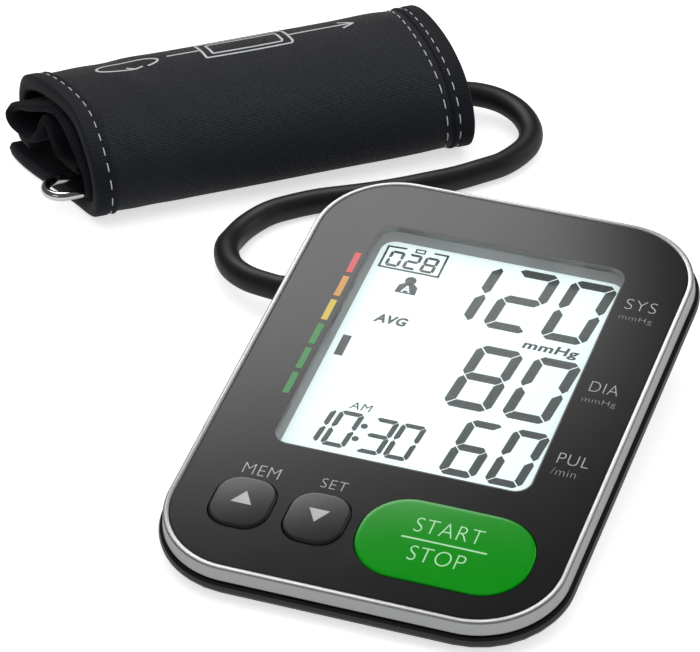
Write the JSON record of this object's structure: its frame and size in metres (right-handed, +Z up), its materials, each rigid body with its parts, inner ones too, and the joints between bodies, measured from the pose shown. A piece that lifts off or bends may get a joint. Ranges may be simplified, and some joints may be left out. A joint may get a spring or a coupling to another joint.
{
  "type": "desk blood pressure monitor",
  "caption": "Sloping desk blood pressure monitor with display, push buttons and battery door, joined by an air hose to a rolled upper-arm cuff.",
  "frame": {"origin": "on the table under the centre of the face plate, at the level of the rubber feet", "axes": "+Z up, -Y towards the user at the low front edge, +X to the user's right"},
  "size_m": [0.2146, 0.2578, 0.0345],
  "materials": {
    "face_black": "moulded plastic plate, satin gloss",
    "window_clear": "clear acrylic lens",
    "silver_ring": "satin chromed plastic ring",
    "case_black": "moulded plastic, satin gloss",
    "case_matte": "moulded plastic, fine texture",
    "foot_rubber": "soft rubber, matte",
    "steel": "zinc plated steel",
    "bezel_grey": "light grey moulded plastic",
    "lcd": "display glass, pale",
    "light_guide": "white diffusing plastic",
    "elastomer": "conductive rubber strip",
    "board": "solder-masked circuit board",
    "chip": "epoxy chip package",
    "key_black": "moulded plastic, satin gloss",
    "key_green": "green moulded plastic, glossy",
    "switch_white": "nylon",
    "motor_steel": "drawn steel can",
    "air_nylon": "natural nylon",
    "valve_black": "glass-filled nylon",
    "cell": "plain wrapped battery",
    "contact": "nickel plated steel",
    "plug_black": "moulded plastic, satin",
    "seal_rubber": "nitrile rubber",
    "hose_black": "PVC hose, matte",
    "cuff_cloth": "woven nylon, dark navy black",
    "tail_cloth": "looped nylon, dark navy black",
    "bladder": "polyurethane film",
    "hook": "hook tape",
    "hem_tape": "ribbed binding tape",
    "loop_steel": "polished chromed wire"
  },
  "bodies": {
    "monitor": {"face_plate": "face_black", "display_window": "window_clear", "trim_ring": "silver_ring", "upper_case": "case_black", "lower_case": "case_matte", "rubber_feet": "foot_rubber", "case_screws": "steel", "display_bezel": "bezel_grey", "display_glass": "lcd", "light_guide": "light_guide", "display_connector": "elastomer", "main_board": "board", "board_chips": "chip", "board_screws": "steel", "key_board": "board", "key_switches": "chip", "buzzer": "valve_black", "pump_motor": "motor_steel", "pump_head": "air_nylon", "release_valve": "valve_black", "pressure_sensor": "chip", "air_manifold": "air_nylon", "air_socket": "plug_black", "battery_cells": "cell", "battery_springs": "contact", "battery_tabs": "contact"},
    "mem_key": {"mem_button": "key_black", "mem_plunger": "switch_white"},
    "set_key": {"set_button": "key_black", "set_plunger": "switch_white"},
    "start_key": {"start_button": "key_green", "start_plunger": "switch_white"},
    "door": {"battery_door": "case_matte"},
    "cuff": {"air_plug": "plug_black", "plug_seal": "seal_rubber", "air_hose": "hose_black", "cuff_nipple": "plug_black", "cuff_cover": "cuff_cloth", "cuff_tail": "tail_cloth", "air_bladder": "bladder", "hook_patch": "hook", "left_hem": "hem_tape", "right_hem": "hem_tape", "metal_loop": "loop_steel"}
  },
  "joints": [
    {"name": "mem_press", "type": "slide", "parent": "monitor", "child": "mem_key", "axis": [0, 0.165, -0.9863], "range_m": [0, 0.0006], "stiffness_N_per_m": 1800},
    {"name": "set_press", "type": "slide", "parent": "monitor", "child": "set_key", "axis": [0, 0.165, -0.9863], "range_m": [0, 0.0006], "stiffness_N_per_m": 1800},
    {"name": "start_press", "type": "slide", "parent": "monitor", "child": "start_key", "axis": [0, 0.165, -0.9863], "range_m": [0, 0.0006], "stiffness_N_per_m": 2200},
    {"name": "battery_door_slide", "type": "slide", "parent": "monitor", "child": "door", "axis": [0, 1, 0], "range_m": [0, 0.012]},
    {"name": "air_plug_pull", "type": "slide", "parent": "monitor", "child": "cuff", "axis": [-1, 0, 0], "range_m": [0, 0.012]}
  ]
}
